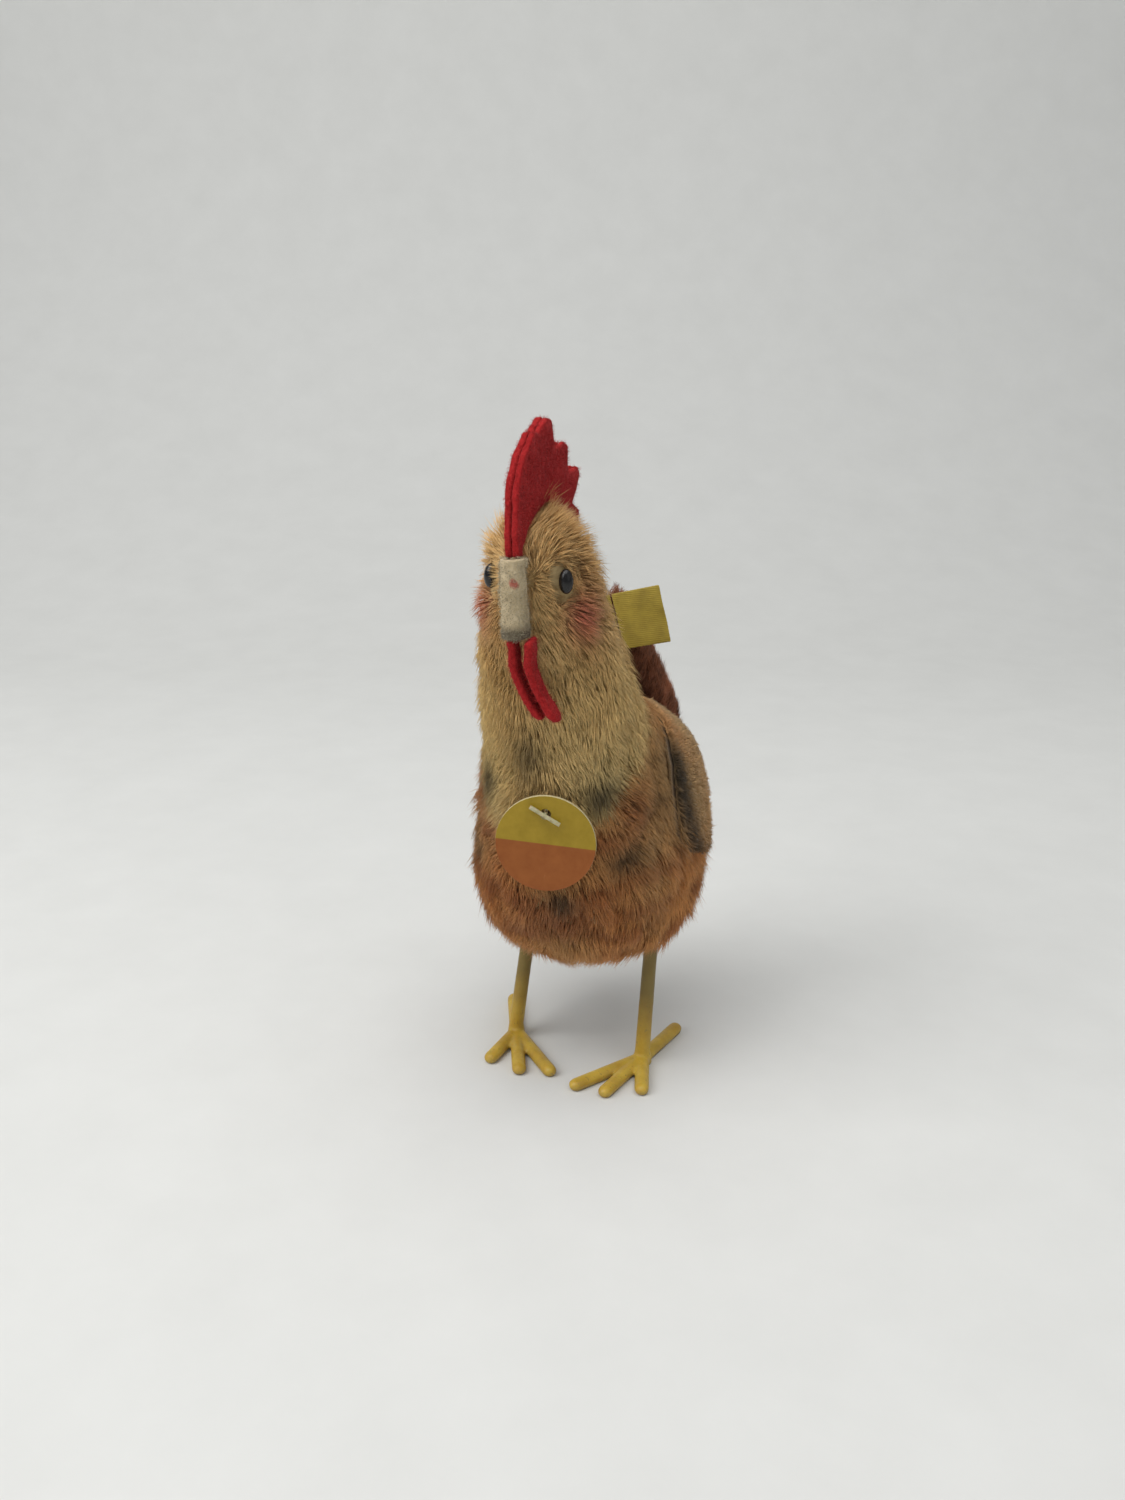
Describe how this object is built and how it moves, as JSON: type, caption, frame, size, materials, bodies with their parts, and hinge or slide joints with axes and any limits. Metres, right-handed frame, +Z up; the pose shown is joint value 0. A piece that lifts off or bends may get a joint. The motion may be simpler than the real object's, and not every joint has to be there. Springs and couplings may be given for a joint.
{
  "type": "plush toy hen",
  "caption": "Small standing plush toy hen with a felt comb, beak and wattles, soft wings, bendable moulded legs, a round hang tag and a ribbon label.",
  "frame": {"origin": "on the ground, in the middle of the footprint box", "axes": "+Z up, the hen faces -Y, its left side is +X"},
  "size_m": [0.0514, 0.0878, 0.1445],
  "materials": {
    "cream_mohair": "matte pile",
    "orange_mohair": "matte pile",
    "brown_mohair": "matte pile",
    "wing_backing": "matte",
    "stuffing": "matte",
    "red_felt": "matte",
    "cream_felt": "matte",
    "yellow_plastic": "satin",
    "black_eye": "gloss",
    "steel": "satin",
    "printed_card": "satin",
    "woven_ribbon": "satin weave",
    "white_nylon": "satin"
  },
  "bodies": {
    "hen": {"hip_wire": "steel", "eye_left": "black_eye", "eye_shank_left": "steel", "eye_right": "black_eye", "eye_shank_right": "steel", "comb_felt_left": "red_felt", "comb_felt_right": "red_felt", "beak": "cream_felt", "flag_label_tab": "woven_ribbon", "label_rivet": "steel", "rivet_washer": "steel", "tail_plush_left": "brown_mohair", "tail_plush_right": "brown_mohair", "tail_stuffing": "stuffing", "tag_fastener": "white_nylon", "neck_plush_left": "cream_mohair", "neck_plush_right": "cream_mohair", "body_plush_left": "orange_mohair", "body_plush_right": "orange_mohair", "belly_plush": "orange_mohair", "neck_stuffing": "stuffing", "body_stuffing": "stuffing"},
    "leg_left": {"leg_left": "yellow_plastic", "leg_wire_left": "steel"},
    "leg_right": {"leg_right": "yellow_plastic", "leg_wire_right": "steel"},
    "wing_left": {"wing_plush_left": "orange_mohair", "wing_lining_left": "wing_backing"},
    "wing_right": {"wing_plush_right": "orange_mohair", "wing_lining_right": "wing_backing"},
    "wattle_left": {"wattle_left": "red_felt"},
    "wattle_right": {"wattle_right": "red_felt"},
    "hang_tag": {"hang_tag": "printed_card"},
    "flag_label": {"flag_label": "woven_ribbon"}
  },
  "joints": [
    {"name": "leg_left_bend", "type": "hinge", "parent": "hen", "child": "leg_left", "pos_m": [0.0156, -0.00375, 0.02965], "axis": [1, 0, 0], "range_deg": [-20, 20]},
    {"name": "leg_right_bend", "type": "hinge", "parent": "hen", "child": "leg_right", "pos_m": [-0.0138, -0.00375, 0.02874], "axis": [1, 0, 0], "range_deg": [-20, 20]},
    {"name": "wing_left_lift", "type": "hinge", "parent": "hen", "child": "wing_left", "pos_m": [0.0074, 0.0115, 0.0813], "axis": [0, -0.9121, 0.41], "range_deg": [0, 35], "stiffness_Nm_per_rad": 0.004},
    {"name": "wing_right_lift", "type": "hinge", "parent": "hen", "child": "wing_right", "pos_m": [-0.0074, 0.0115, 0.0813], "axis": [0, 0.9121, -0.41], "range_deg": [0, 35], "stiffness_Nm_per_rad": 0.004},
    {"name": "wattle_left_sway", "type": "hinge", "parent": "hen", "child": "wattle_left", "pos_m": [0.00305, -0.0411, 0.10569], "axis": [0, 1, 0], "range_deg": [-12, 25], "stiffness_Nm_per_rad": 0.0002},
    {"name": "wattle_right_sway", "type": "hinge", "parent": "hen", "child": "wattle_right", "pos_m": [-0.00055, -0.0411, 0.10569], "axis": [0, 1, 0], "range_deg": [-12, 25], "stiffness_Nm_per_rad": 0.0002},
    {"name": "tag_swing", "type": "hinge", "parent": "hen", "child": "hang_tag", "pos_m": [0.0037, -0.03581, 0.07], "axis": [0.2588, -0.9659, 0], "range_deg": [-80, 80]},
    {"name": "label_flex", "type": "hinge", "parent": "hen", "child": "flag_label", "pos_m": [0.00213, 0.00919, 0.09882], "axis": [-0.2588, 0, 0.9659], "range_deg": [-40, 30], "stiffness_Nm_per_rad": 0.00005}
  ],
  "couplings": [
    {"joint": "wattle_right_sway", "follows": "wattle_left_sway", "ratio": 1}
  ]
}
